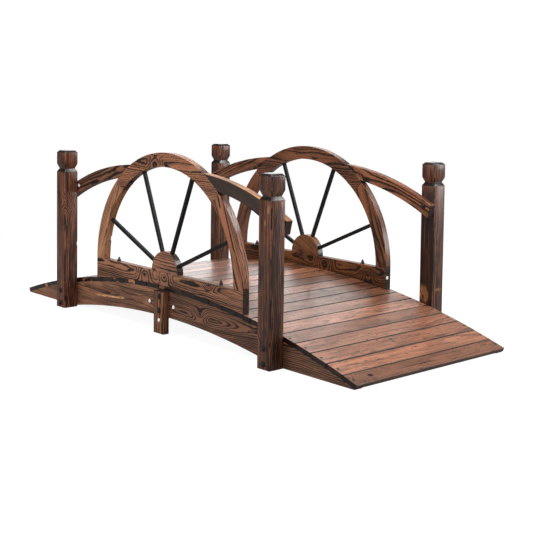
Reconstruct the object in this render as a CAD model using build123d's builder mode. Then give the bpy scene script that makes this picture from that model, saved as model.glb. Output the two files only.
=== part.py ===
from build123d import *
from math import asin, copysign, cos, hypot, radians, sin, sqrt
import os

os.makedirs("parts", exist_ok=True)

# Overall sizes in millimetres
half_length = 754
deck_width = 580
deck_rise = 134.5
deck_radius = 2400

# Clearances between pieces that touch on a curve
seat_gap = 0.1
rail_gap = 0.3
spoke_gap = 0.1
handrail_gap = 0.2

# Planks
plank_thickness = 13
plank_width = 56
plank_seam = 1.5
end_plank_least = 30
plank_groups = 9
plank_arris = 1
plank_nose = 3

# Side beams
beam_thickness = 28
beam_arch_height = 46
beam_arch_radius = 2480
beam_tip_setback = 8

# Centre legs
leg_width = 48
leg_depth = 20
leg_arris = 2

# Posts
post_width = 48
post_centre = 477
post_height = 495
post_arris = 2
cap_chamfer = 6
cap_bottom = 453
neck_middle = 438
neck_width = 36
shaft_top = 428.5

# Half wheels
wheel_thickness = 22
wheel_rail_top = 172.5
rim_outer_radius = 343
rim_width = 41
rim_joint_angle = 46
hub_radius = 61
spoke_width = 10
spoke_first_angle = 24
spoke_step_angle = 44
spoke_count = 4

# Handrails
handrail_centre_x = 116
handrail_centre_z = -363
handrail_radius = 834.5
handrail_width = 37
handrail_overrun = 4
handrail_inner_angle = 95
handrail_end_tilt = 14
cut_reach = 2000

# Places that follow from the sizes above
half_width = deck_width / 2
deck_centre_z = deck_rise - deck_radius
beam_top_radius = deck_radius - plank_thickness - seat_gap
beam_top = deck_centre_z + beam_top_radius
rim_inner_radius = rim_outer_radius - rim_width
plank_pitch = plank_width + plank_seam
end_arc = deck_radius * asin(half_length / deck_radius)
whole_planks_each_way = int((end_arc - plank_pitch / 2 - end_plank_least) // plank_pitch)
end_number = whole_planks_each_way + 1
plank_count = 2 * end_number + 1
end_plank_start = (whole_planks_each_way + 0.5) * plank_pitch + plank_seam / 2
end_plank_width = end_arc - end_plank_start
spoke_angles = [spoke_first_angle + step * spoke_step_angle for step in range(spoke_count)]
sides = {"right": -1, "left": 1}
ends = {"front": 1, "back": -1}


def save(piece, label):
    piece.part.label = label
    export_step(piece.part, f"parts/{label}.step")


def side_plane(side, thickness):
    # The sketch plane whose extrusion towards -Y ends flush with the deck edge
    return Plane.XZ.offset(half_width - thickness if side < 0 else -half_width)


def deck_plane(arc):
    # A plane lying on the deck at a distance measured along its curve
    turn = arc / deck_radius
    origin = (deck_radius * sin(turn), 0, deck_centre_z + deck_radius * cos(turn))
    return Plane(origin=origin, x_dir=(cos(turn), 0, -sin(turn)), z_dir=(sin(turn), 0, cos(turn)))


# Side beams with a flat foot at each end and an arched underside
for side_name, side in sides.items():
    with BuildPart() as beam:
        with BuildSketch(side_plane(side, beam_thickness)):
            beam_size = 2 * (half_length - beam_tip_setback)
            Rectangle(beam_size, beam_top, align=(Align.CENTER, Align.MIN))
            with Locations((0, deck_centre_z)):
                Circle(beam_top_radius, mode=Mode.INTERSECT)
            with Locations((0, beam_arch_height - beam_arch_radius)):
                Circle(beam_arch_radius, mode=Mode.SUBTRACT)
        extrude(amount=beam_thickness)
    save(beam, f"{side_name}_side_beam")

# Short legs bolted outside the beams at mid length
for side_name, side in sides.items():
    with BuildPart() as leg:
        with BuildSketch(Plane.XY):
            with Locations((0, side * (half_width + leg_depth / 2))):
                Rectangle(leg_width, leg_depth)
        extrude(amount=beam_top)
        outer_face = leg.faces().sort_by(Axis.Y)[-1 if side > 0 else 0]
        chamfer(outer_face.edges().filter_by(Axis.Z), length=leg_arris)
    save(leg, f"{side_name}_centre_leg")

# Posts with a notched neck under a square cap
post_outline = [
    (0, post_width),
    (shaft_top, post_width),
    (neck_middle, neck_width),
    (cap_bottom, post_width),
    (post_height - cap_chamfer, post_width),
    (post_height, post_width - 2 * cap_chamfer),
]
for side_name, side in sides.items():
    for end_name, end in ends.items():
        with BuildPart() as post:
            place = (end * post_centre, side * (half_width + post_width / 2))
            for height, width in post_outline:
                with BuildSketch(Plane.XY.offset(height)):
                    with Locations(place):
                        Rectangle(width, width)
                    chamfer(vertices(), length=post_arris)
            loft(ruled=True)
        save(post, f"{end_name}_{side_name}_post")

# Deck planks laid across the beams, each one flat board, with the end ones planed under the tip
def depth(edge):
    return deck_radius - hypot(edge.center().X, edge.center().Z - deck_centre_z)


def on_top(edge):
    return depth(edge) < plank_arris


def under_tip(edge):
    return depth(edge) > plank_thickness / 2 and abs(edge.center().X) > half_length - plank_thickness


for group in range(plank_groups):
    first = plank_count * group // plank_groups - end_number
    following = plank_count * (group + 1) // plank_groups - end_number
    with BuildPart() as planks:
        for number in range(first, following):
            is_end = abs(number) == end_number
            end_arc_middle = copysign(end_plank_start + end_plank_width / 2, number)
            with BuildSketch(deck_plane(end_arc_middle if is_end else number * plank_pitch)):
                Rectangle(end_plank_width if is_end else plank_width, deck_width)
            extrude(amount=-plank_thickness)
        chamfer(planks.edges().filter_by(Axis.Y).filter_by(on_top), length=plank_arris)
        nose_edges = planks.edges().filter_by(Axis.Y).filter_by(under_tip)
        if nose_edges:
            chamfer(nose_edges, length=plank_nose)
    save(planks, f"deck_planks_{group + 1}")

# Bottom rails of the half wheels, scribed to the curve of the deck
for side_name, side in sides.items():
    with BuildPart() as rail:
        with BuildSketch(side_plane(side, wheel_thickness)):
            Rectangle(2 * rim_outer_radius, wheel_rail_top, align=(Align.CENTER, Align.MIN))
            with Locations((0, deck_centre_z)):
                Circle(deck_radius + rail_gap, mode=Mode.SUBTRACT)
        extrude(amount=wheel_thickness)
    save(rail, f"{side_name}_wheel_rail")

# Hubs standing on the rails
for side_name, side in sides.items():
    with BuildPart() as hub:
        with BuildSketch(side_plane(side, wheel_thickness)):
            with Locations((0, wheel_rail_top)):
                Circle(hub_radius)
                Rectangle(2 * hub_radius, hub_radius, align=(Align.CENTER, Align.MIN), mode=Mode.INTERSECT)
        extrude(amount=wheel_thickness)
    save(hub, f"{side_name}_wheel_hub")

# Rims, each of three curved segments that meet on radial joints
top_span = 180 - 2 * rim_joint_angle
rim_spans = {
    "front": (0, rim_joint_angle),
    "top": (rim_joint_angle, top_span),
    "back": (rim_joint_angle + top_span, rim_joint_angle),
}
for side_name, side in sides.items():
    for span_name, (start_angle, arc_size) in rim_spans.items():
        with BuildPart() as rim:
            with BuildSketch(side_plane(side, wheel_thickness)):
                with BuildLine():
                    outer = CenterArc((0, wheel_rail_top), rim_outer_radius, start_angle, arc_size)
                    inner = CenterArc((0, wheel_rail_top), rim_inner_radius, start_angle, arc_size)
                    Line(outer @ 0, inner @ 0)
                    Line(outer @ 1, inner @ 1)
                make_face()
            extrude(amount=wheel_thickness)
        save(rim, f"{side_name}_wheel_rim_{span_name}")

# Square metal spokes from the hub to the rim
spoke_start = hub_radius + spoke_gap
spoke_end = sqrt(rim_inner_radius**2 - (spoke_width / 2) ** 2) - spoke_gap
for side_name, side in sides.items():
    for number, angle in enumerate(spoke_angles):
        direction = Vector(cos(radians(angle)), 0, sin(radians(angle)))
        wheel_centre = Vector(0, side * (half_width - wheel_thickness / 2), wheel_rail_top)
        with BuildPart() as spoke:
            with BuildSketch(Plane(wheel_centre + direction * spoke_start, x_dir=(0, 1, 0), z_dir=direction)):
                Rectangle(spoke_width, spoke_width)
            extrude(amount=spoke_end - spoke_start)
        save(spoke, f"{side_name}_wheel_spoke_{number + 1}")

# Curved handrails from the rims to just past the posts, with an end cut that leans outwards
handrail_end_x = post_centre + post_width / 2 + handrail_overrun
handrail_end_z = handrail_centre_z + sqrt(handrail_radius**2 - (handrail_end_x - handrail_centre_x) ** 2)
handrail_inner_radius = handrail_radius - handrail_width
for side_name, side in sides.items():
    for end_name, end in ends.items():
        start_angle = 0 if end > 0 else 180 - handrail_inner_angle
        centre = (end * handrail_centre_x, handrail_centre_z)
        with BuildPart() as handrail:
            with BuildSketch(side_plane(side, wheel_thickness)):
                with BuildLine():
                    outer = CenterArc(centre, handrail_radius, start_angle, handrail_inner_angle)
                    inner = CenterArc(centre, handrail_inner_radius, start_angle, handrail_inner_angle)
                    Line(outer @ 0, inner @ 0)
                    Line(outer @ 1, inner @ 1)
                make_face()
                with Locations((0, wheel_rail_top)):
                    Circle(rim_outer_radius + handrail_gap, mode=Mode.SUBTRACT)
                with Locations((end * handrail_end_x, handrail_end_z)):
                    outward = (Align.MIN if end > 0 else Align.MAX, Align.CENTER)
                    Rectangle(cut_reach, cut_reach, -end * handrail_end_tilt, outward, Mode.SUBTRACT)
            extrude(amount=wheel_thickness)
        save(handrail, f"{end_name}_{side_name}_handrail")
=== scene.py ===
import math
import bmesh
import bpy
from mathutils import Matrix, Vector


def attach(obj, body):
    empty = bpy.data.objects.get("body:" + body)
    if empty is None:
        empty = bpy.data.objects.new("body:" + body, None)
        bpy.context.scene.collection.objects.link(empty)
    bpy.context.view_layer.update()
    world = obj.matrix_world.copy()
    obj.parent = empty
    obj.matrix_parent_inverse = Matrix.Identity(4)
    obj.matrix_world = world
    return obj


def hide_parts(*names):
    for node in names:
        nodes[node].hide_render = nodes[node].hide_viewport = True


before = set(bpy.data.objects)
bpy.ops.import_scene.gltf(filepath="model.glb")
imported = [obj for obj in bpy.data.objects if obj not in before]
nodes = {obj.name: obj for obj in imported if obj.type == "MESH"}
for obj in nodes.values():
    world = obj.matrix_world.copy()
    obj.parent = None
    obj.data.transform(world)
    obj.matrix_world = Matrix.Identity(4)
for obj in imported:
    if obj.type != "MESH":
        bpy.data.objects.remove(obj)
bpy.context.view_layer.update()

# Side beams: the two long fir boards that carry the bridge, sawn to an arch over a flat foot at each end.
# They are scorched and brushed, so the hard dark rings stand out from the softer brown wood, then oiled.
# The near beam has a scratch down to bare wood between the back post and the leg.
sides = {"right": -1, "left": 1}
ends = {"front": 1, "back": -1}
bare_wood, clean_wood, torn_wood = (0.72, 0.38, 0.18), (0.40, 0.170, 0.065), (0.30, 0.125, 0.055)


def add_node(tree, kind, values=(), **settings):
    node = tree.nodes.new(kind)
    for name, value in settings.items():
        setattr(node, name, value)
    for socket, value in dict(values).items():
        if isinstance(value, bpy.types.NodeSocket):
            tree.links.new(value, node.inputs[socket])
        else:
            node.inputs[socket].default_value = value
    return node


def math_node(tree, operation, a, b=0.0, c=0.0, clamp=False):
    node = add_node(tree, "ShaderNodeMath", {0: a, 1: b, 2: c}, operation=operation, use_clamp=clamp)
    return node.outputs[0]


def vector_node(tree, operation, a, b=(0, 0, 0)):
    node = add_node(tree, "ShaderNodeVectorMath", {0: a, 1: b}, operation=operation)
    return node.outputs["Value" if operation in ("LENGTH", "DOT_PRODUCT") else "Vector"]


def colour_mix(tree, factor, a, b, blend="MIX"):
    node = add_node(tree, "ShaderNodeMix", {0: factor, 6: a, 7: b}, data_type="RGBA", blend_type=blend)
    return node.outputs[2]


def smooth_step(tree, value, low, high, start=0.0, end=1.0):
    return add_node(tree, "ShaderNodeMapRange", {0: value, 1: low, 2: high, 3: start, 4: end},
                    interpolation_type="SMOOTHSTEP").outputs[0]


def grain_noise(tree, place, stretch, detail=2.0, roughness=0.5):
    spread = vector_node(tree, "MULTIPLY", place, stretch)
    return add_node(tree, "ShaderNodeTexNoise", {"Vector": spread, "Scale": 1.0, "Detail": detail,
                                                 "Roughness": roughness})


def tint(colour, level=1.0):
    return tuple(part * level for part in colour) + (1,)


def scorched_fir(name, early, late, *, pith, ring, wander, centre=(0, 0, 0), turn=(0, 0, 0), seed=0.0,
                 knots=(), contrast=1.0, scorch=0.45, flecks=0.45, rough=0.5, coat=0.0, is_board=False,
                 plain_and_lit_before=None, end_grain=(0.32, 0.55), bare=(), scratches=(), darkened_face=None,
                 darkened_below=9.0, darkened_cover=0.50, darkened_colour=(0.014, 0.0065, 0.0045)):
    """Scorched and oiled fir. With centre taken off and turn undone, the stem runs along X at pith."""
    material = bpy.data.materials.new(name)
    material.use_nodes = True
    tree = material.node_tree
    shader = tree.nodes["Principled BSDF"]
    coords = add_node(tree, "ShaderNodeTexCoord")
    if is_board:
        local = add_node(tree, "ShaderNodeAttribute", attribute_name="board_local").outputs["Vector"]
        shift = add_node(tree, "ShaderNodeAttribute", attribute_name="board_shift").outputs["Vector"]
        tone = add_node(tree, "ShaderNodeAttribute", attribute_name="board_tone").outputs["Fac"]
    else:
        local = vector_node(tree, "SUBTRACT", coords.outputs["Object"], centre)
    place = add_node(tree, "ShaderNodeMapping", {"Vector": local, "Rotation": turn}).outputs[0]
    if is_board:
        place = vector_node(tree, "ADD", place, shift)
    normal = add_node(tree, "ShaderNodeMapping",
                      {"Vector": coords.outputs["Normal"], "Rotation": turn}).outputs[0]
    seeded = vector_node(tree, "ADD", place, (seed * 3.7, seed * 1.31, seed * 0.77))

    # The stem bends slowly along the board, which draws long arches on a flat-sawn face
    bend = grain_noise(tree, seeded, (2.6, 1.5, 1.5), 1.5).outputs["Color"]
    bend = vector_node(tree, "SUBTRACT", bend, (0.5, 0.5, 0.5))
    bend = vector_node(tree, "MULTIPLY", bend, (0.0, 4 * wander, 4 * wander))
    across = vector_node(tree, "MULTIPLY", place, (0, 1, 1))
    from_pith = vector_node(tree, "ADD", vector_node(tree, "ADD", across, bend), (0, pith[0], pith[1]))
    radius = vector_node(tree, "LENGTH", from_pith)
    wave = grain_noise(tree, seeded, (14, 22, 22), 2.0).outputs["Fac"]
    radius = math_node(tree, "MULTIPLY_ADD", wave, wander * 0.45, radius)
    ripple = grain_noise(tree, seeded, (60, 160, 160), 1.0).outputs["Fac"]
    radius = math_node(tree, "MULTIPLY_ADD", ripple, 0.0022, radius)

    # Knots push the rings aside; each is given as distance along, distance across and size
    parts = add_node(tree, "ShaderNodeSeparateXYZ", {0: coords.outputs["Object"] if is_board else local})
    heart = None
    for along, over, size in knots:
        if is_board:
            spot = (along, over, 0)
            flat = vector_node(tree, "MULTIPLY", coords.outputs["Object"], (1, 1, 0))
        else:
            spot = (along, 0, over)
            flat = vector_node(tree, "MULTIPLY", place, (1, 0, 1))
        stretched = vector_node(tree, "MULTIPLY", vector_node(tree, "SUBTRACT", flat, spot),
                                (1, 0.6, 1) if is_board else (0.6, 1, 1))
        distance = vector_node(tree, "LENGTH", stretched)
        distance = math_node(tree, "MULTIPLY_ADD", ripple, 0.004, distance)
        push = smooth_step(tree, distance, 4.5 * size, 0.0)
        radius = math_node(tree, "MULTIPLY_ADD", push, 2.4 * size, radius)
        core = smooth_step(tree, distance, size, 0.55 * size)
        heart = core if heart is None else math_node(tree, "MAXIMUM", heart, core)

    # Some years grew faster than others, so the spacing of the rings varies
    drift = add_node(tree, "ShaderNodeCombineXYZ", {0: radius, 1: seed})
    growth = grain_noise(tree, drift.outputs[0], (0.45 / ring, 1, 1), 2.0).outputs["Fac"]
    radius = math_node(tree, "MULTIPLY_ADD", growth, 1.3 * ring, radius)
    year = math_node(tree, "FRACT", math_node(tree, "DIVIDE", radius, ring))
    band = add_node(tree, "ShaderNodeValToRGB", {0: year})
    stops = band.color_ramp.elements
    stops[0].position, stops[0].color = 0.0, tint((0.25, 0.25, 0.25))
    stops[1].position, stops[1].color = 1.0, tint((0.25, 0.25, 0.25))
    for position, level in ((0.10, 0.0), (0.40, 0.08), (0.62, 0.55), (0.78, 1.0), (0.92, 0.95)):
        stops.new(position).color = tint((level, level, level))
    streak = grain_noise(tree, seeded, (5, 150, 150), 2.0, 0.6).outputs["Fac"]
    hair = grain_noise(tree, seeded, (24, 900, 900), 2.0, 0.6).outputs["Fac"]
    cloud = grain_noise(tree, seeded, (5, 16, 16), 3.0, 0.55).outputs["Fac"]
    strength = smooth_step(tree, cloud, 0.30, 0.60, 0.55 * contrast, 1.1 * contrast)
    paler = tint(early)
    # Behind the given place along X the figure is weaker and the early wood is 1.4 times paler. The paler
    # colour is painted light, standing in for stronger light on that part of the beam.
    if plain_and_lit_before is not None:
        figured = smooth_step(tree, parts.outputs["X"], plain_and_lit_before - 0.06, plain_and_lit_before + 0.02)
        strength = math_node(tree, "MULTIPLY", strength, math_node(tree, "MULTIPLY_ADD", figured, 0.4, 0.6))
        paler = colour_mix(tree, figured, tint(early, 1.4), tint(early))
    dark = math_node(tree, "MULTIPLY", band.outputs["Color"], strength)
    dark = math_node(tree, "MULTIPLY_ADD", math_node(tree, "SUBTRACT", streak, 0.5), 1.1, dark)
    dark = math_node(tree, "MULTIPLY_ADD", math_node(tree, "SUBTRACT", hair, 0.5), 0.7, dark, clamp=True)
    split = grain_noise(tree, seeded, (34, 300, 300), 3.0, 0.65).outputs["Fac"]
    dark = math_node(tree, "MAXIMUM", dark, smooth_step(tree, split, 0.56, 0.68, 0.0, flecks))
    if heart:
        dark = math_node(tree, "MAXIMUM", dark, math_node(tree, "MULTIPLY", heart, 0.95))
    dark = smooth_step(tree, dark, 0.05, 0.80)
    wood = colour_mix(tree, dark, paler, tint(late))

    # Scorching is uneven, and open end grain soaks up more stain
    patch = grain_noise(tree, seeded, (6, 30, 30), 3.0, 0.6).outputs["Fac"]
    burnt = smooth_step(tree, patch, 0.47, 0.66, 0.0, scorch)
    ribbon = grain_noise(tree, seeded, (6, 95, 95), 2.0, 0.6).outputs["Fac"]
    burnt = math_node(tree, "MAXIMUM", burnt, smooth_step(tree, ribbon, 0.51, 0.62, 0.0, scorch))
    wood = colour_mix(tree, burnt, wood, tint(late, 1.1))
    facing = math_node(tree, "ABSOLUTE", add_node(tree, "ShaderNodeSeparateXYZ", {0: normal}).outputs["X"])
    sawn_end = smooth_step(tree, facing, end_grain[0], end_grain[1], 0.0, 0.94)
    wood = colour_mix(tree, sawn_end, wood, tint(late, 0.9))
    # Faces turned the given way are darkened in streaks, only below a given height. On the front left post
    # this is painted shade; on the near front handrail it darkens the outer face.
    if darkened_face:
        dark_face = vector_node(tree, "DOT_PRODUCT", coords.outputs["Normal"], darkened_face)
        dark_face = smooth_step(tree, dark_face, 0.6, 0.9, 0.0, 0.92)
        cover = smooth_step(tree, streak, darkened_cover + 0.2, darkened_cover - 0.05)
        dark_face = math_node(tree, "MULTIPLY", dark_face, cover)
        level = add_node(tree, "ShaderNodeSeparateXYZ", {0: coords.outputs["Object"]}).outputs["Z"]
        low_down = smooth_step(tree, level, darkened_below, darkened_below - 0.04)
        dark_face = math_node(tree, "MULTIPLY", dark_face, low_down)
        wood = colour_mix(tree, dark_face, wood, tint(darkened_colour))
    for spot, size in bare:
        # The brush took the scorch off here, down to clean wood
        offset = vector_node(tree, "SUBTRACT", coords.outputs["Object"], spot)
        ragged = vector_node(tree, "LENGTH", vector_node(tree, "DIVIDE", offset, size))
        ragged = math_node(tree, "MULTIPLY_ADD", wave, 1.6, ragged)
        ragged = math_node(tree, "MULTIPLY_ADD", ripple, 0.8, ragged)
        clean = colour_mix(tree, math_node(tree, "MULTIPLY", dark, 0.8), tint(clean_wood), tint(late))
        wood = colour_mix(tree, smooth_step(tree, ragged, 2.5, 1.9), wood, clean)
    if is_board:
        # Each board is darkened near its long edges and on its sides below the top face, which leaves a dark
        # line at each seam
        on_board = add_node(tree, "ShaderNodeSeparateXYZ", {0: local})
        from_middle = math_node(tree, "ABSOLUTE", on_board.outputs["X"])
        seam = smooth_step(tree, from_middle, board_width / 2 - 0.0026, board_width / 2 - 0.0010)
        below = smooth_step(tree, on_board.outputs["Z"], -0.0006, -0.0016)
        from_crown = math_node(tree, "ABSOLUTE", parts.outputs["X"])
        tip = smooth_step(tree, from_crown, half_length - 0.0028, half_length - 0.0018, 1.0, 0.25)
        seam_darkening = math_node(tree, "MULTIPLY", math_node(tree, "MAXIMUM", seam, below), tip)
        wood = colour_mix(tree, seam_darkening, wood, tint(late, 0.5))
        torn = grain_noise(tree, seeded, (40, 20, 34), 2.0).outputs["Fac"]
        torn = math_node(tree, "MULTIPLY", smooth_step(tree, torn, 0.59, 0.63), sawn_end)
        torn = math_node(tree, "MULTIPLY", torn, smooth_step(tree, parts.outputs["X"], 0.12, 0.02))
        wood = colour_mix(tree, torn, wood, tint(torn_wood))
        shade = smooth_step(tree, tone, 0.0, 1.0, 0.60, 1.42)
        shade = add_node(tree, "ShaderNodeCombineColor", {0: shade, 1: shade, 2: shade}).outputs[0]
        wood = colour_mix(tree, 1.0, wood, shade, "MULTIPLY")
    for start, stop, low, high, width in scratches:
        # A scrape along the grain that shows pale bare wood in broken dashes
        axis = add_node(tree, "ShaderNodeSeparateXYZ", {0: place})
        inside = math_node(tree, "MULTIPLY", smooth_step(tree, axis.outputs["X"], start, start + 0.02),
                           smooth_step(tree, axis.outputs["X"], stop, stop - 0.02))
        line = add_node(tree, "ShaderNodeMapRange",
                        {0: axis.outputs["X"], 1: start, 2: stop, 3: low, 4: high}).outputs[0]
        off_line = math_node(tree, "ABSOLUTE", math_node(tree, "SUBTRACT", axis.outputs["Z"], line))
        near = smooth_step(tree, off_line, width, 0.0)
        dashes = grain_noise(tree, seeded, (70, 200, 200), 2.0).outputs["Fac"]
        dashes = smooth_step(tree, dashes, 0.38, 0.52)
        scrape = math_node(tree, "MULTIPLY", math_node(tree, "MULTIPLY", inside, near), dashes)
        wood = colour_mix(tree, scrape, wood, tint(bare_wood))
    tree.links.new(wood, shader.inputs["Base Color"])
    sheen = math_node(tree, "MULTIPLY_ADD", hair, 0.22, rough - 0.11)
    sheen = math_node(tree, "MULTIPLY_ADD", patch, 0.24, math_node(tree, "MULTIPLY_ADD", dark, -0.06, sheen))
    sheen = math_node(tree, "SUBTRACT", sheen, 0.12)
    sheen = math_node(tree, "MULTIPLY_ADD", sawn_end, -0.20, sheen)
    tree.links.new(sheen, shader.inputs["Roughness"])
    shader.inputs["Specular IOR Level"].default_value = 0.24
    shader.inputs["Coat Weight"].default_value = coat
    shader.inputs["Coat Roughness"].default_value = 0.22
    height = math_node(tree, "MULTIPLY_ADD", hair, 0.5, dark)
    bump = add_node(tree, "ShaderNodeBump", {"Strength": 0.35, "Distance": 0.0006, "Height": height})
    tree.links.new(bump.outputs[0], shader.inputs["Normal"])
    return material


def add_object(name, data):
    item = bpy.data.objects.new(name, data)
    bpy.context.scene.collection.objects.link(item)
    return item


def mesh_of(body, name):
    mesh = bpy.data.meshes.new(name)
    body.to_mesh(mesh)
    body.free()
    return mesh


def settle(piece, slot, *replaced):
    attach(piece, "root")
    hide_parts(*replaced)


bevel_angle, sharp_angle = math.radians(28), math.radians(24)


def eased_piece(node, material, slot, ease=0.0012, cuts=()):
    """A copy of a CAD solid with its sharp edges planed off and a nick cut out at each (place, size)."""
    body = bmesh.new()
    body.from_mesh(nodes[node].data)
    bmesh.ops.remove_doubles(body, verts=body.verts, dist=1e-6)
    bmesh.ops.dissolve_limit(body, angle_limit=math.radians(0.3), verts=body.verts, edges=body.edges)
    piece = add_object(node + "_eased", mesh_of(body, node + "_eased"))
    easing = piece.modifiers.new("easing", "BEVEL")
    easing.width, easing.segments = ease, 2
    easing.limit_method, easing.angle_limit = "ANGLE", bevel_angle
    tools = []
    for place, size in cuts:
        ball = bmesh.new()
        bmesh.ops.create_icosphere(ball, subdivisions=2, radius=1.0)
        for number, vert in enumerate(ball.verts):
            vert.co *= 1 + 0.12 * math.sin(number * 2.4)
        reshape = Matrix.Translation(place) @ Matrix.Diagonal((*size, 1))
        bmesh.ops.transform(ball, matrix=reshape, verts=ball.verts)
        tool = add_object("gouge", mesh_of(ball, "gouge"))
        tools.append(tool)
        gouge = piece.modifiers.new("gouge", "BOOLEAN")
        gouge.operation, gouge.solver, gouge.object = "DIFFERENCE", "EXACT", tool
    bpy.context.view_layer.update()
    finished = bpy.data.meshes.new_from_object(piece.evaluated_get(bpy.context.evaluated_depsgraph_get()))
    piece.modifiers.clear()
    piece.data = finished
    for tool in tools:
        bpy.data.objects.remove(tool)
    finished.polygons.foreach_set("use_smooth", [True] * len(finished.polygons))
    finished.set_sharp_from_angle(angle=sharp_angle)
    finished.materials.clear()
    finished.materials.append(material)
    settle(piece, slot, node)


beam_early, beam_late = (0.22, 0.100, 0.057), (0.016, 0.009, 0.0065)
beam_middle, beam_face, beam_height = 0.276, 0.290, 0.080
beam_knots = {"right": ((0.164, 0.0, 0.007), (-0.60, 0.0, 0.006)), "left": ((-0.12, 0.01, 0.007),)}
# The near beam has little figure behind this place along X. There it is also painted paler, painted light
# that stands in for stronger light on its back part.
beam_plain_and_lit_before = {"right": -0.02, "left": None}
# Start and stop along the beam, height off its middle at each, and half the width
beam_scratches = {"right": ((-0.350, -0.190, -0.026, -0.012, 0.0048),), "left": ()}
for number, (side, sign) in enumerate(sides.items()):
    beam_fir = scorched_fir(f"{side}_beam_fir", beam_early, beam_late, pith=(-sign * 0.03, 0.004),
                            ring=0.0044, wander=0.012, centre=(0, sign * beam_middle, beam_height),
                            seed=1.3 + number, knots=beam_knots[side],
                            plain_and_lit_before=beam_plain_and_lit_before[side], scratches=beam_scratches[side])
    eased_piece(f"{side}_side_beam", beam_fir, "frame_wood")

# Centre legs: short square blocks of the same fir, bolted to the outer face of each beam at mid length.
# Their grain stands upright, and the outer corners are planed off.
upright = (0, math.radians(90), 0)
leg_early = (0.29, 0.115, 0.052)
leg_middle, leg_face, leg_height = 0.300, 0.310, 0.06
for number, (side, sign) in enumerate(sides.items()):
    leg_fir = scorched_fir(f"{side}_leg_fir", leg_early, beam_late, pith=(sign * 0.05, 0.03), ring=0.005,
                           wander=0.005, centre=(0, sign * leg_middle, leg_height), turn=upright,
                           seed=4.1 + number)
    eased_piece(f"{side}_centre_leg", leg_fir, "frame_wood", ease=0.0008)

# Posts: four square lengths of straight-grained fir, notched all round under the cap.
# Each is bolted through the beam. The brush left bare patches on the front ones, and the near back one has
# lost a knot.
post_early, post_late = (0.29, 0.100, 0.046), (0.009, 0.005, 0.004)
post_x, post_middle, post_face = 0.477, 0.314, 0.338
post_tones = {"front_right": 0.72, "back_right": 0.88, "back_left": 0.80, "front_left": 0.80}
post_knots = {"front_right": ((0.445, 0.024, 0.008), (0.07, 0.004, 0.005)),
              "back_right": ((0.335, -0.02, 0.006),), "front_left": ((0.105, 0.01, 0.009),)}
# Bare patches and nicks: middle, and half the size along X, Y and Z
post_bare = {"front_right": (((0.501, -0.301, 0.420), (0.008, 0.006, 0.013)),
                             ((0.490, -0.338, 0.405), (0.005, 0.010, 0.012)),
                             ((0.478, -0.338, 0.372), (0.004, 0.010, 0.010))),
             "front_left": (((0.471, 0.290, 0.118), (0.015, 0.010, 0.022)),
                            ((0.501, 0.312, 0.129), (0.010, 0.016, 0.005)))}
post_nicks = {"back_right": (((-0.4525, -0.2895, 0.2005), (0.006, 0.005, 0.009)),)}
# Painted shade: the front left post's −Y face is darkened in streaks below 0.44 m, standing in for shade
# that falls there.
post_shaded_faces = {"front_left": (0, -1, 0)}
for number, (post, tone) in enumerate(post_tones.items()):
    end_name, side = post.split("_")
    post_fir = scorched_fir(f"{post}_post_fir", tint(post_early, tone)[:3], post_late, pith=(0.045, 0.05),
                            ring=0.0050, wander=0.013, turn=upright, seed=7.7 + 1.9 * number,
                            centre=(ends[end_name] * post_x, sides[side] * post_middle, 0),
                            knots=post_knots.get(post, ()), contrast=1.3, scorch=0.8, coat=0.3,
                            end_grain=(0.22, 0.36), bare=post_bare.get(post, ()),
                            darkened_face=post_shaded_faces.get(post), darkened_below=0.44)
    eased_piece(f"{post}_post", post_fir, "post_wood", ease=0.0006, cuts=post_nicks.get(post, ()))

# Deck boards: twenty-seven flat fir boards laid across the beams, a little apart, and screwed at both ends.
# Their edges are eased, the two end boards are planed off under the tip, and their faces carry more oil
# than the frame.
half_length = 0.754
deck_radius, deck_centre = 2.4, 0.1345 - 2.4
board_width, board_thickness, board_length = 0.056, 0.013, 0.580
board_pitch, board_seam = 0.0575, 0.0015
board_arris, board_nose = 0.0007, 0.003
least_board_scale = (0.972, 0.9965, 0.985)
least_shift, most_shift = (-9.0, -0.022, -0.012), (9.0, 0.022, 0.02)
boards_each_way = 12
end_board_start = (boards_each_way + 0.5) * board_pitch + board_seam / 2
end_board_width = deck_radius * math.asin(half_length / deck_radius) - end_board_start
end_board_middle = end_board_start + end_board_width / 2


def sawn_board(name, width, nose):
    """One board with its top face at zero height, its grain along Y and its outer edge towards +X."""
    body = bmesh.new()
    bmesh.ops.create_cube(body, size=1.0)
    bmesh.ops.transform(body, verts=body.verts, matrix=Matrix.Translation((0, 0, -board_thickness / 2))
                        @ Matrix.Diagonal((width, board_length, board_thickness, 1)))
    long_edges = [edge for edge in body.edges if abs(edge.verts[0].co.y - edge.verts[1].co.y) > 0.1]
    tip = [edge for edge in long_edges if edge.verts[0].co.x > 0 and edge.verts[0].co.z < -0.001]
    if nose:
        bmesh.ops.bevel(body, geom=tip, offset=nose, segments=1, profile=0.5, affect="EDGES")
    arrises = [edge for edge in body.edges if all(vert.co.z > -0.001 for vert in edge.verts)]
    bmesh.ops.bevel(body, geom=arrises, offset=board_arris, segments=2, profile=0.5, affect="EDGES")
    return add_object(name, mesh_of(body, name))


def new_group(name, sockets):
    """An empty geometry tree with a geometry output and named inputs."""
    group = bpy.data.node_groups.new(name, "GeometryNodeTree")
    group.interface.new_socket("Geometry", in_out="INPUT", socket_type="NodeSocketGeometry")
    for label, kind in sockets:
        group.interface.new_socket(label, in_out="INPUT", socket_type="NodeSocket" + kind)
    group.interface.new_socket("Geometry", in_out="OUTPUT", socket_type="NodeSocketGeometry")
    return group, group.nodes.new("NodeGroupInput").outputs, group.nodes.new("NodeGroupOutput")


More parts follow.
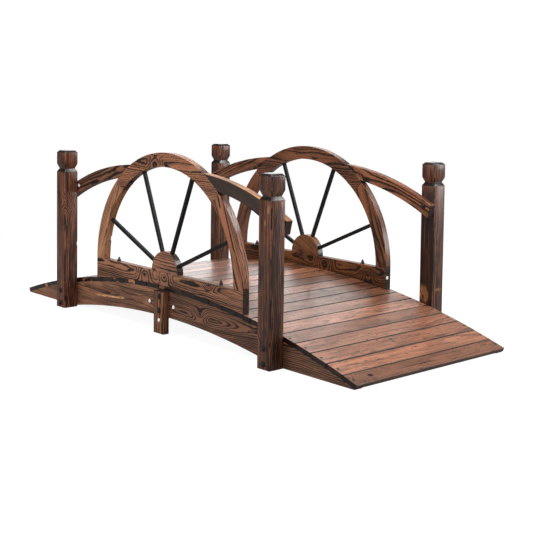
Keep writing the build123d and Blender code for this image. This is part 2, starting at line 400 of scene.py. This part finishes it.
def run_group(piece, group, values):
    """Runs a geometry tree on a piece and keeps the result as its plain mesh."""
    modifier = piece.modifiers.new(group.name, "NODES")
    modifier.node_group = group
    sockets = {item.name: item.identifier for item in group.interface.items_tree if item.in_out == "INPUT"}
    for label, value in values.items():
        modifier[sockets[label]] = value
    bpy.context.view_layer.update()
    result = bpy.data.meshes.new_from_object(piece.evaluated_get(bpy.context.evaluated_depsgraph_get()))
    piece.modifiers.clear()
    piece.data = result


deck_tree, deck_in, deck_out = new_group("lay_boards", (
    ("Board", "Object"), ("End Board", "Object"), ("Boards Each Way", "Int"), ("Pitch", "Float"),
    ("End Place", "Float"), ("Deck Radius", "Float"), ("Deck Centre", "Float"), ("Seed", "Int"),
    ("Finish", "Material")))


def random_value(tree, kind, low, high, seed):
    """A number or a vector drawn for each point or board."""
    node = tree.nodes.new("FunctionNodeRandomValue")
    node.data_type = kind
    first, output = {"FLOAT": (2, 1), "FLOAT_VECTOR": (0, 0)}[kind]
    node.inputs[first].default_value, node.inputs[first + 1].default_value = low, high
    tree.links.new(seed, node.inputs["Seed"])
    return node.outputs[output]


def store_value(tree, geometry, name, value, kind, domain):
    return add_node(tree, "GeometryNodeStoreNamedAttribute",
                    {"Geometry": geometry, "Name": name, "Value": value},
                    data_type=kind, domain=domain).outputs[0]


def board_row(tree, board, count, arc, flip):
    """Boards on the deck's arc: arc gives each one's distance from the crown."""
    points = add_node(tree, "GeometryNodePoints", {"Count": count}).outputs[0]
    turn = math_node(tree, "DIVIDE", arc, deck_in["Deck Radius"])
    along = math_node(tree, "MULTIPLY", math_node(tree, "SINE", turn), deck_in["Deck Radius"])
    height = math_node(tree, "MULTIPLY_ADD", math_node(tree, "COSINE", turn), deck_in["Deck Radius"],
                       deck_in["Deck Centre"])
    spot = add_node(tree, "ShaderNodeCombineXYZ", {0: along, 2: height}).outputs[0]
    points = add_node(tree, "GeometryNodeSetPosition", {"Geometry": points, "Position": spot}).outputs[0]
    tilt = math_node(tree, "MULTIPLY", turn, flip)
    spin = math_node(tree, "MULTIPLY", math_node(tree, "SUBTRACT", 1.0, flip), math.pi / 2)
    angles = add_node(tree, "ShaderNodeCombineXYZ", {1: tilt, 2: spin}).outputs[0]
    scale = random_value(tree, "FLOAT_VECTOR", least_board_scale, (1.0, 1.0, 1.0), deck_in["Seed"])
    source = add_node(tree, "GeometryNodeObjectInfo", {"Object": board}, transform_space="ORIGINAL")
    place = add_node(tree, "GeometryNodeInputPosition").outputs[0]
    solid = store_value(tree, source.outputs["Geometry"], "board_local", place, "FLOAT_VECTOR", "POINT")
    return add_node(tree, "GeometryNodeInstanceOnPoints",
                    {"Points": points, "Instance": solid, "Rotation": angles, "Scale": scale}).outputs[0]


index = deck_tree.nodes.new("GeometryNodeInputIndex").outputs[0]
whole_count = math_node(deck_tree, "MULTIPLY_ADD", deck_in["Boards Each Way"], 2.0, 1.0)
from_crown = math_node(deck_tree, "SUBTRACT", index, deck_in["Boards Each Way"])
whole_arc = math_node(deck_tree, "MULTIPLY", from_crown, deck_in["Pitch"])
end_sign = math_node(deck_tree, "MULTIPLY_ADD", index, -2.0, 1.0)
end_arc = math_node(deck_tree, "MULTIPLY", end_sign, deck_in["End Place"])
rows = add_node(deck_tree, "GeometryNodeJoinGeometry")
deck_tree.links.new(board_row(deck_tree, deck_in["Board"], whole_count, whole_arc, 1.0), rows.inputs[0])
deck_tree.links.new(board_row(deck_tree, deck_in["End Board"], 2, end_arc, end_sign), rows.inputs[0])
shift_seed = math_node(deck_tree, "ADD", deck_in["Seed"], 3.0)
shift = random_value(deck_tree, "FLOAT_VECTOR", least_shift, most_shift, shift_seed)
tone_seed = math_node(deck_tree, "ADD", deck_in["Seed"], 8.0)
tone = random_value(deck_tree, "FLOAT", 0.0, 1.0, tone_seed)
laid = store_value(deck_tree, rows.outputs[0], "board_shift", shift, "FLOAT_VECTOR", "INSTANCE")
laid = store_value(deck_tree, laid, "board_tone", tone, "FLOAT", "INSTANCE")
laid = add_node(deck_tree, "GeometryNodeRealizeInstances", {"Geometry": laid}).outputs[0]
laid = add_node(deck_tree, "GeometryNodeSetMaterial",
                {"Geometry": laid, "Material": deck_in["Finish"]}).outputs[0]
deck_tree.links.new(laid, deck_out.inputs[0])

deck_early, deck_late = (0.255, 0.106, 0.058), (0.030, 0.013, 0.008)
deck_knots = ((0.730, -0.218, 0.010), (0.717, 0.162, 0.005), (0.527, 0.074, 0.008),
              (0.604, -0.055, 0.006), (-0.408, 0.12, 0.008), (-0.64, -0.1, 0.009))
deck_fir = scorched_fir("deck_fir", deck_early, deck_late, pith=(0.0, 0.038), ring=0.0044, wander=0.009,
                        turn=(0, 0, math.radians(-90)), knots=deck_knots, contrast=0.42, scorch=0.4,
                        flecks=0.9, rough=0.33, coat=0.2, is_board=True)
board_parts = [sawn_board("board", board_width, 0.0), sawn_board("end_board", end_board_width, board_nose)]
deck_seed = 285
deck = add_object("deck_boards", bpy.data.meshes.new("deck_boards"))
run_group(deck, deck_tree, {"Board": board_parts[0], "End Board": board_parts[1],
                            "Boards Each Way": boards_each_way, "Pitch": board_pitch,
                            "End Place": end_board_middle, "Deck Radius": deck_radius,
                            "Deck Centre": deck_centre, "Seed": deck_seed, "Finish": deck_fir})
for part in board_parts:
    bpy.data.objects.remove(part)
plank_groups = 9
settle(deck, "deck_wood", *[f"deck_planks_{number}" for number in range(1, plank_groups + 1)])

# Half wheels: a bottom rail scribed to the deck, a hub block and a rim of three segments sawn from board.
# The grain runs straight through each segment, so it meets the rim's edges at an angle near the joints.
# The near back segment has a nick in its inner edge.
wheel_late = (0.015, 0.008, 0.005)
wheel_plane, wheel_inner_face = 0.279, 0.268
rail_top, rail_end, rail_height = 0.1725, 0.343, 0.150
rail_early = {"right": (0.36, 0.160, 0.090), "left": (0.20, 0.070, 0.022)}
rail_rings = {"right": 0.0044, "left": 0.0036}
rail_contrast = {"right": 0.95, "left": 1.3}
rail_knots = {"right": ((-0.095, 0.004, 0.008), (0.0, 0.008, 0.007), (0.20, 0.02, 0.006)),
              "left": ((0.089, 0.006, 0.009), (0.272, -0.008, 0.007), (-0.16, 0.0, 0.006))}
hub_early = {"right": (0.36, 0.150, 0.082), "left": (0.24, 0.092, 0.030)}
hub_slope = {"right": 0, "left": -25}
hub_contrast = {"right": 0.9, "left": 0.5}
hub_height = 0.2
rim_inner, rim_middle, rim_outer = 0.302, 0.320, 0.343
rim_turns = {"front": 67, "top": 0, "back": -67}
rim_rings = {"front": 0.0058, "top": 0.0044, "back": 0.0044}
rim_contrast = {"front": 0.95, "top": 0.95, "back": 0.6}
rim_scorch = {"front": 0.45, "top": 0.45, "back": 0.25}
rim_early = {"right_front": (0.38, 0.145, 0.068), "right_top": (0.40, 0.160, 0.082),
             "right_back": (0.44, 0.200, 0.098), "left_front": (0.26, 0.088, 0.034),
             "left_top": (0.20, 0.068, 0.028), "left_back": (0.19, 0.066, 0.028)}
rim_knots = {"right_top": ((-0.048, -0.012, 0.007),)}
rim_nicks = {"right_back": (((-0.2955, -0.2685, 0.2315), (0.005, 0.007, 0.010)),)}
for number, (side, sign) in enumerate(sides.items()):
    rail_fir = scorched_fir(f"{side}_rail_fir", rail_early[side], wheel_late, pith=(-sign * 0.028, -0.006),
                            ring=rail_rings[side], wander=0.011, seed=2.2 + number,
                            centre=(0, sign * wheel_plane, rail_height), knots=rail_knots[side],
                            contrast=rail_contrast[side])
    eased_piece(f"{side}_wheel_rail", rail_fir, "rail_wood")
    hub_fir = scorched_fir(f"{side}_hub_fir", hub_early[side], wheel_late, pith=(-sign * 0.05, 0.03),
                           ring=0.0044, wander=0.006, centre=(0, sign * wheel_plane, hub_height),
                           turn=(0, math.radians(hub_slope[side]), 0), seed=5.2 + number,
                           contrast=hub_contrast[side], coat=0.3)
    eased_piece(f"{side}_wheel_hub", hub_fir, "rail_wood")
    for segment, turn in rim_turns.items():
        label = f"{side}_{segment}"
        middle = math.radians(90 - turn)
        centre = (rim_middle * math.cos(middle), sign * wheel_plane,
                  rail_top + rim_middle * math.sin(middle))
        rim_fir = scorched_fir(f"{side}_rim_{segment}_fir", rim_early[label], wheel_late,
                               pith=(-sign * 0.035, 0.012), ring=rim_rings[segment], wander=0.008,
                               centre=centre, turn=(0, math.radians(-turn), 0),
                               seed=3.3 + number + turn * 0.01, knots=rim_knots.get(label, ()),
                               contrast=rim_contrast[segment], scorch=rim_scorch[segment], coat=0.3)
        eased_piece(f"{side}_wheel_rim_{segment}", rim_fir, "rail_wood", cuts=rim_nicks.get(label, ()))

# Spokes: four square steel bars in each half wheel, set in the hub and the rim.
# They are brushed with black paint that lets a little brown primer through.
paint_black, paint_brown = (0.008, 0.0085, 0.009), (0.026, 0.018, 0.015)
spoke_paint = bpy.data.materials.new("spoke_paint")
spoke_paint.use_nodes = True
paint_tree = spoke_paint.node_tree
paint = paint_tree.nodes["Principled BSDF"]
paint.inputs["Specular IOR Level"].default_value = 0.14
paint_place = add_node(paint_tree, "ShaderNodeTexCoord").outputs["Object"]
worn = grain_noise(paint_tree, paint_place, (60, 60, 60), 4.0, 0.6).outputs["Fac"]
fleck = grain_noise(paint_tree, paint_place, (420, 420, 420), 2.0).outputs["Fac"]
primer = smooth_step(paint_tree, worn, 0.45, 0.7, 0.0, 0.8)
paint_colour = colour_mix(paint_tree, primer, tint(paint_black), tint(paint_brown))
paint_tree.links.new(paint_colour, paint.inputs["Base Color"])
paint_tree.links.new(math_node(paint_tree, "MULTIPLY_ADD", worn, 0.3, 0.28), paint.inputs["Roughness"])
paint_bump = add_node(paint_tree, "ShaderNodeBump", {"Strength": 0.3, "Distance": 0.0004, "Height": fleck})
paint_tree.links.new(paint_bump.outputs[0], paint.inputs["Normal"])
spoke_count = 4
for side in sides:
    for number in range(1, spoke_count + 1):
        eased_piece(f"{side}_wheel_spoke_{number}", spoke_paint, "spoke_steel", ease=0.0009)

# Handrails: curved rails sawn from board, which run from the rim's joint down past the inside of each post.
# The near front one is painted paler: partly its own lighter wood, and partly a painted highlight on its top
# edge. Its outer face is darkened to nearly black.
handrail_early = {"front_right": (0.42, 0.190, 0.085), "front_left": (0.33, 0.122, 0.054),
                  "back_right": (0.22, 0.090, 0.048), "back_left": (0.23, 0.088, 0.044)}
handrail_contrast = {"front_right": 0.35, "front_left": 1.25, "back_right": 1.2, "back_left": 1.0}
handrail_darkened_faces = {"front_right": (0, -1, 0)}
handrail_slope, handrail_middle_x, handrail_height = 22, 0.35, 0.42
for number, (handrail, early) in enumerate(handrail_early.items()):
    end_name, side = handrail.split("_")
    end, sign = ends[end_name], sides[side]
    handrail_fir = scorched_fir(f"{handrail}_handrail_fir", early, wheel_late,
                                pith=(-sign * 0.035, 0.016), ring=0.0048, wander=0.009,
                                centre=(end * handrail_middle_x, sign * wheel_plane, handrail_height),
                                turn=(0, math.radians(-handrail_slope * end), 0), seed=9.4 + number,
                                contrast=handrail_contrast[handrail], darkened_cover=0.9,
                                darkened_face=handrail_darkened_faces.get(handrail),
                                darkened_colour=(0.020, 0.0175, 0.017))
    eased_piece(f"{handrail}_handrail", handrail_fir, "rail_wood")

# Bolts, nuts and screws: black hexagon bolts with washers hold the posts and legs to the beams, the rails
# to the posts and the rims together. Pointed nuts stand on the wheel rails, bright barrel nuts are sunk in
# the beams, legs and rails, and black screws hold the deck boards.


def turned_part(name, profile, corners):
    """A solid turned from (radius, height, is_hexagon) steps, closed at both ends, standing on +Z."""
    body = bmesh.new()
    rings = []
    for radius, height, hexagon in profile:
        ring = []
        for step in range(corners):
            angle = 2 * math.pi * step / corners
            reach = radius
            if hexagon:
                reach = radius * math.cos(math.pi / 6) / math.cos((angle % (math.pi / 3)) - math.pi / 6)
            ring.append(body.verts.new((reach * math.cos(angle), reach * math.sin(angle), height)))
        rings.append(ring)
    for lower, upper in zip(rings, rings[1:]):
        for step in range(corners):
            after = (step + 1) % corners
            body.faces.new((lower[step], lower[after], upper[after], upper[step]))
    body.faces.new(list(reversed(rings[0])))
    body.faces.new(rings[-1])
    return add_object(name, mesh_of(body, name))


set_tree, set_in, set_out = new_group("set_fasteners", (("Fastener", "Object"), ("Seed", "Int"),
                                                        ("Finish", "Material")))
facing = add_node(set_tree, "GeometryNodeInputNamedAttribute", {"Name": "facing"},
                  data_type="FLOAT_VECTOR").outputs[0]
aimed = add_node(set_tree, "FunctionNodeAlignRotationToVector", {"Vector": facing}, axis="Z").outputs[0]
full_turn = 6.28
spin = random_value(set_tree, "FLOAT", 0.0, full_turn, set_in["Seed"])
twist = add_node(set_tree, "ShaderNodeCombineXYZ", {2: spin}).outputs[0]
turned = add_node(set_tree, "FunctionNodeRotateRotation", {"Rotation": aimed, "Rotate By": twist},
                  rotation_space="LOCAL").outputs[0]
fastener = add_node(set_tree, "GeometryNodeObjectInfo", {"Object": set_in["Fastener"]},
                    transform_space="ORIGINAL").outputs["Geometry"]
placed = add_node(set_tree, "GeometryNodeInstanceOnPoints",
                  {"Points": set_in["Geometry"], "Instance": fastener, "Rotation": turned}).outputs[0]
placed = add_node(set_tree, "GeometryNodeRealizeInstances", {"Geometry": placed}).outputs[0]
placed = add_node(set_tree, "GeometryNodeSetMaterial",
                  {"Geometry": placed, "Material": set_in["Finish"]}).outputs[0]
set_tree.links.new(placed, set_out.inputs[0])


def set_fasteners(name, fastener, places, finish, seed):
    """One piece holding a fastener at each (place, facing) pair."""
    mesh = bpy.data.meshes.new(name)
    mesh.from_pydata([place for place, facing in places], [], [])
    directions = mesh.attributes.new("facing", "FLOAT_VECTOR", "POINT")
    for number, (place, facing) in enumerate(places):
        directions.data[number].vector = facing
    piece = add_object(name, mesh)
    run_group(piece, set_tree, {"Fastener": fastener, "Seed": seed, "Finish": finish})
    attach(piece, "root")


def metal(name, colour, flecks, metallic):
    """Plated or blackened steel with small flecks."""
    material = bpy.data.materials.new(name)
    material.use_nodes = True
    tree = material.node_tree
    shader = tree.nodes["Principled BSDF"]
    place = add_node(tree, "ShaderNodeTexCoord").outputs["Object"]
    spots = grain_noise(tree, place, (300, 300, 300), 3.0, 0.6).outputs["Fac"]
    speckled = colour_mix(tree, smooth_step(tree, spots, 0.4, 0.7), tint(colour), tint(flecks))
    tree.links.new(speckled, shader.inputs["Base Color"])
    tree.links.new(math_node(tree, "MULTIPLY_ADD", spots, 0.3, 0.3), shader.inputs["Roughness"])
    shader.inputs["Metallic"].default_value = metallic
    return material


black_steel = metal("black_steel", (0.012, 0.012, 0.013), (0.03, 0.024, 0.02), 0.2)
bright_zinc = metal("bright_zinc", (0.96, 0.96, 0.97), (0.90, 0.90, 0.92), 0.05)
hex_bolt = turned_part("hex_bolt", (
    (0.0086, -0.0010, False), (0.0086, 0.0012, False), (0.0080, 0.0016, False),
    (0.0066, 0.0016, True), (0.0066, 0.0038, True), (0.0057, 0.0044, True),
    (0.0031, 0.0044, False), (0.0031, 0.0050, False), (0.0022, 0.0054, False)), 24)
pointed_nut = turned_part("pointed_nut", (
    (0.0068, -0.0010, False), (0.0068, 0.0012, False), (0.0056, 0.0018, True), (0.0054, 0.0055, True),
    (0.0042, 0.0068, False), (0.0030, 0.0100, False), (0.0009, 0.0135, False)), 24)
screw_head = turned_part("screw_head", (
    (0.0030, -0.0020, False), (0.0040, 0.0001, False), (0.0036, 0.0006, False),
    (0.0014, 0.0006, False), (0.0010, -0.0006, False)), 16)
barrel_nut = turned_part("barrel_nut", (
    (0.0052, -0.0020, False), (0.0052, 0.0004, False), (0.0047, 0.0010, False),
    (0.0012, 0.0012, False), (0.0010, 0.0004, False)), 20)

post_bolt_heights, leg_bolt_heights = (0.054, 0.0145), (0.108, 0.067)
leg_bolt_x, rim_bolt_turn = 0.003, 37
handrail_bolt_x, handrail_bolt_height = 0.480, 0.372
bolt_places = []
for sign in sides.values():
    wheel_centre = Vector((0, sign * wheel_plane, rail_top))
    for end in ends.values():
        bolt_places += [((end * post_x, sign * post_face, height), (0, sign, 0))
                        for height in post_bolt_heights]
        bolt_places.append(((end * handrail_bolt_x, sign * wheel_inner_face, handrail_bolt_height),
                            (0, -sign, 0)))
        angle = math.radians(90 - end * rim_bolt_turn)
        spread = Vector((math.cos(angle), 0, math.sin(angle)))
        bolt_places.append((wheel_centre + spread * rim_inner, -spread))
        bolt_places.append((wheel_centre + spread * rim_outer, spread))
    bolt_places += [((leg_bolt_x, sign * leg_face, height), (0, sign, 0)) for height in leg_bolt_heights]
set_fasteners("bolts", hex_bolt, bolt_places, black_steel, seed=5)

nut_x = 0.24
nut_places = [((end * nut_x, sign * wheel_plane, rail_top), (0, 0, 1))
              for sign in sides.values() for end in ends.values()]
set_fasteners("pointed_nuts", pointed_nut, nut_places, black_steel, seed=7)

screw_places = []
for number in range(-boards_each_way - 1, boards_each_way + 2):
    is_end = abs(number) > boards_each_way
    arc = math.copysign(end_board_middle, number) if is_end else number * board_pitch
    outward = Vector((math.sin(arc / deck_radius), 0, math.cos(arc / deck_radius)))
    for sign in sides.values():
        wobble = 0.004 * math.sin(number * 5.3 + sign)
        foot = Vector((0, sign * (wheel_plane + wobble / 3), deck_centre))
        screw_places.append((foot + outward * deck_radius, outward))
set_fasteners("deck_screws", screw_head, screw_places, black_steel, seed=9)

beam_nut_x, leg_nut_height = (-0.069, 0.044), 0.039
rail_nut_y, rail_nut_height = 0.275, 0.144
handrail_nut_x, handrail_nut_height = 0.446, 0.385
zinc_places = []
for sign in sides.values():
    zinc_places += [((along, sign * beam_face, beam_height), (0, sign, 0)) for along in beam_nut_x]
    zinc_places.append(((leg_bolt_x, sign * leg_face, leg_nut_height), (0, sign, 0)))
    zinc_places.append(((sign * rail_end, sign * rail_nut_y, rail_nut_height), (sign, 0, 0)))
    zinc_places += [((end * handrail_nut_x, sign * beam_face, handrail_nut_height), (0, sign, 0))
                    for end in ends.values()]
set_fasteners("barrel_nuts", barrel_nut, zinc_places, bright_zinc, seed=3)
for part in (hex_bolt, pointed_nut, screw_head, barrel_nut):
    bpy.data.objects.remove(part)

# Studio: a plain pale floor that fades into a white backdrop, and large soft lamps round the bridge.
# The bright side of the world gives the deck its sheen, and the edge lamp picks out rims and necks.
# The camera stands where the photograph was taken.
floor_reach = 30.0
floor_grey, seen_grey, floor_glow = 0.28, 0.16, 0.92
fade_start, fade_end = 0.9, 1.9
floor_mesh = bpy.data.meshes.new("studio_floor")
floor_corners = [(along * floor_reach, across * floor_reach, 0)
                 for along, across in ((-1, -1), (1, -1), (1, 1), (-1, 1))]
floor_mesh.from_pydata(floor_corners, [], [(0, 1, 2, 3)])
floor = add_object("studio_floor", floor_mesh)
floor_paint = bpy.data.materials.new("floor_paint")
floor_paint.use_nodes = True
floor_tree = floor_paint.node_tree
floor_shader = floor_tree.nodes["Principled BSDF"]
floor_shader.inputs["Base Color"].default_value = tint((1, 1, 1), floor_grey)
floor_shader.inputs["Roughness"].default_value = 1.0
floor_shader.inputs["Specular IOR Level"].default_value = 0.0
lit_floor = add_node(floor_tree, "ShaderNodeBsdfDiffuse", {"Color": tint((1, 1, 1), seen_grey)})
glow = add_node(floor_tree, "ShaderNodeEmission", {"Color": (1, 1, 1, 1), "Strength": floor_glow})
seen_floor = add_node(floor_tree, "ShaderNodeAddShader", {0: lit_floor.outputs[0], 1: glow.outputs[0]})
white = add_node(floor_tree, "ShaderNodeEmission", {"Color": (1, 1, 1, 1), "Strength": 1.0})
away = vector_node(floor_tree, "LENGTH", add_node(floor_tree, "ShaderNodeTexCoord").outputs["Object"])
fading = smooth_step(floor_tree, away, fade_start, fade_end)
faded = add_node(floor_tree, "ShaderNodeMixShader", {0: fading, 1: seen_floor.outputs[0],
                                                     2: white.outputs[0]})
floor_ray = add_node(floor_tree, "ShaderNodeLightPath").outputs["Is Camera Ray"]
floor_mix = add_node(floor_tree, "ShaderNodeMixShader", {0: floor_ray, 1: floor_shader.outputs[0],
                                                         2: faded.outputs[0]})
floor_tree.links.new(floor_mix.outputs[0], floor_tree.nodes["Material Output"].inputs["Surface"])
floor_mesh.materials.append(floor_paint)

world = bpy.data.worlds.new("studio")
bpy.context.scene.world = world
world.use_nodes = True
backdrop = world.node_tree
sky = backdrop.nodes["Background"]
sky.inputs["Color"].default_value = (1, 1, 1, 1)
bright_side, dim_strength, bright_strength = (-0.75, 0.66, 0), 0.09, 0.50
outlook = add_node(backdrop, "ShaderNodeTexCoord").outputs["Generated"]
towards = vector_node(backdrop, "DOT_PRODUCT", outlook, bright_side)
behind = smooth_step(backdrop, towards, 0.55, 0.95, dim_strength, bright_strength)
backdrop.links.new(behind, sky.inputs["Strength"])
white_sky = add_node(backdrop, "ShaderNodeBackground", {"Color": (1, 1, 1, 1), "Strength": 1.0})
seen = add_node(backdrop, "ShaderNodeLightPath").outputs["Is Camera Ray"]
choose = add_node(backdrop, "ShaderNodeMixShader", {0: seen, 1: sky.outputs[0], 2: white_sky.outputs[0]})
backdrop.links.new(choose.outputs[0], backdrop.nodes["World Output"].inputs["Surface"])


def soft_lamp(name, place, aim, size, power):
    lamp = bpy.data.lights.new(name, "AREA")
    lamp.shape = "DISK"
    lamp.size = size
    lamp.energy = power
    lamp_object = add_object(name, lamp)
    lamp_object.location = place
    lamp_object.rotation_euler = (Vector(aim) - Vector(place)).to_track_quat("-Z", "Y").to_euler()


soft_lamp("top_lamp", place=(0.3, -0.6, 3.3), aim=(0, 0, 0), size=3.0, power=130)
soft_lamp("front_lamp", place=(2.4, -3.4, 2.0), aim=(0, 0, 0.2), size=2.0, power=38)
soft_lamp("left_lamp", place=(-1.2, -4.1, 1.5), aim=(0, 0, 0.2), size=2.2, power=66)
soft_lamp("back_lamp", place=(-3.0, 2.6, 1.2), aim=(0, 0, 0.2), size=2.6, power=30)
soft_lamp("edge_lamp", place=(2.0, 2.4, 2.9), aim=(0, 0, 0.2), size=1.4, power=95)
soft_lamp("glint_lamp", place=(-1.9, 2.7, 2.6), aim=(0, 0, 0.2), size=1.2, power=12)
soft_lamp("right_lamp", place=(2.9, 3.5, 0.9), aim=(0, 0, 0.2), size=1.3, power=62)

camera_place = (2.5132, -2.1859, 0.7440)
camera_azimuth, camera_tilt, camera_roll = 0.8487, 0.0655, 0.0126
picture_size = 533
focal_pixels = 1111.2
centre_pixel = (249.4, 145.9)
camera_data = bpy.data.cameras.new("camera")
camera_data.sensor_width = 36.0
camera_data.lens = focal_pixels / picture_size * camera_data.sensor_width
camera_data.shift_x = (picture_size / 2 - centre_pixel[0]) / picture_size
camera_data.shift_y = (centre_pixel[1] - picture_size / 2) / picture_size
camera = add_object("camera", camera_data)
camera.matrix_world = (Matrix.Translation(camera_place)
                       @ Matrix.Rotation(camera_azimuth, 4, "Z")
                       @ Matrix.Rotation(math.pi / 2 - camera_tilt, 4, "X")
                       @ Matrix.Rotation(camera_roll, 4, "Z"))
bpy.context.scene.camera = camera
bpy.context.scene.view_settings.view_transform = "Standard"
